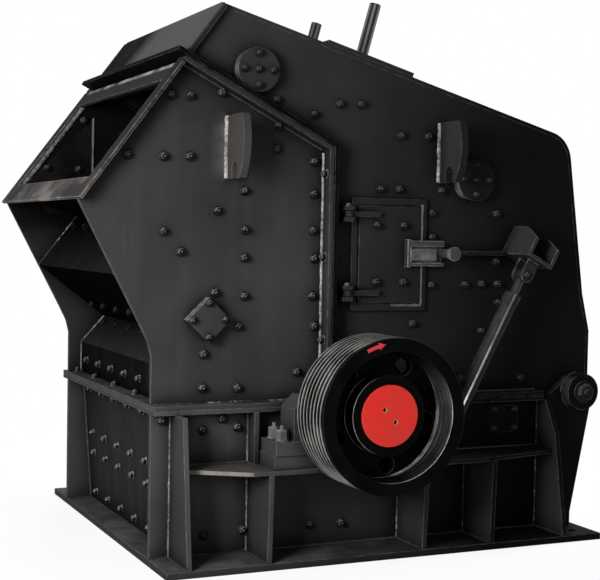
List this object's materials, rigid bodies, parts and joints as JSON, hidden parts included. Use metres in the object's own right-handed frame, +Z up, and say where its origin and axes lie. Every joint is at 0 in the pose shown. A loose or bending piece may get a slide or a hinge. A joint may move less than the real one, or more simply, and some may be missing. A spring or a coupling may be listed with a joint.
{
  "type": "horizontal shaft impact crusher",
  "caption": "Horizontal shaft impact crusher with an angled feed mouth, ribbed welded base, belt pulley, side access door and a rear housing that tips open on cylinders.",
  "frame": {"origin": "centre of the foundation bolt pattern at the base underside", "axes": "+X from the feed mouth to the hinged rear, -Y towards the pulley side, +Z up"},
  "size_m": [2.94, 2.515, 2.8888],
  "materials": {
    "black_paint": "satin",
    "black_casting": "satin",
    "wear_steel": "rough",
    "bright_steel": "polished",
    "red_paint": "satin"
  },
  "bodies": {
    "base": {"base_plate": "black_paint", "base_side_near": "black_paint", "base_side_far": "black_paint", "base_front_wall": "black_paint", "base_rear_wall": "black_paint", "base_flange_front": "black_paint", "base_flange_rear": "black_paint", "rib_shelf_near": "black_paint", "rib_shelf_far": "black_paint", "bearing_near": "black_casting", "bearing_far": "black_casting", "hinge_carrier_near": "black_paint", "hinge_carrier_far": "black_paint", "cylinder_foot_near": "black_paint", "cylinder_foot_far": "black_paint", "front_side_near": "black_paint", "front_side_far": "black_paint", "front_wall": "black_paint", "front_flange": "black_paint", "feed_frame": "black_paint", "diamond_cover_near": "black_paint", "diamond_cover_far": "black_paint"},
    "rear_housing": {"rear_side_near": "black_paint", "rear_side_far": "black_paint", "rear_shell": "black_paint", "rear_flange": "black_paint", "roof_plate": "black_paint", "apron_rod_near": "black_paint", "apron_rod_far": "black_paint", "front_apron": "wear_steel", "rear_apron": "wear_steel", "door_frame_near": "black_paint", "door_far": "black_paint", "cylinder_bracket_near": "black_paint", "cylinder_bracket_far": "black_paint"},
    "access_door": {"door_panel": "black_paint", "door_latch": "black_paint"},
    "barrel_near": {"cylinder_barrel_near": "black_paint"},
    "barrel_far": {"cylinder_barrel_far": "black_paint"},
    "rod_near": {"cylinder_rod_near": "bright_steel"},
    "rod_far": {"cylinder_rod_far": "bright_steel"},
    "rotor": {"rotor_shaft": "bright_steel", "rotor_body": "wear_steel", "pulley": "black_casting", "pulley_cap": "red_paint"}
  },
  "joints": [
    {"name": "rotor_spin", "type": "hinge", "parent": "base", "child": "rotor", "pos_m": [-0.218, 0, 0.765], "axis": [0, 1, 0], "continuous": true},
    {"name": "rear_housing_hinge", "type": "hinge", "parent": "base", "child": "rear_housing", "pos_m": [1.222, 0, 0.78], "axis": [0, 1, 0], "range_deg": [0, 45]},
    {"name": "access_door_hinge", "type": "hinge", "parent": "rear_housing", "child": "access_door", "pos_m": [-0.212, -0.85, 1.5255], "axis": [0, 0, -1], "range_deg": [0, 100]},
    {"name": "near_cylinder_swing", "type": "hinge", "parent": "base", "child": "barrel_near", "pos_m": [0.321, -0.945, 0.56], "axis": [0, 1, 0], "range_deg": [0, 18.5]},
    {"name": "near_rod_extend", "type": "slide", "parent": "barrel_near", "child": "rod_near", "axis": [0.4668, 0, 0.8844], "range_m": [0, 0.477]},
    {"name": "far_cylinder_swing", "type": "hinge", "parent": "base", "child": "barrel_far", "pos_m": [0.321, 0.945, 0.56], "axis": [0, 1, 0], "range_deg": [0, 18.5]},
    {"name": "far_rod_extend", "type": "slide", "parent": "barrel_far", "child": "rod_far", "axis": [0.4668, 0, 0.8844], "range_m": [0, 0.477]}
  ],
  "couplings": [
    {"joint": "near_cylinder_swing", "follows": "rear_housing_hinge", "ratio": 0.407},
    {"joint": "near_rod_extend", "follows": "rear_housing_hinge", "m_per_rad": 0.605},
    {"joint": "far_cylinder_swing", "follows": "rear_housing_hinge", "ratio": 0.407},
    {"joint": "far_rod_extend", "follows": "rear_housing_hinge", "m_per_rad": 0.605}
  ]
}
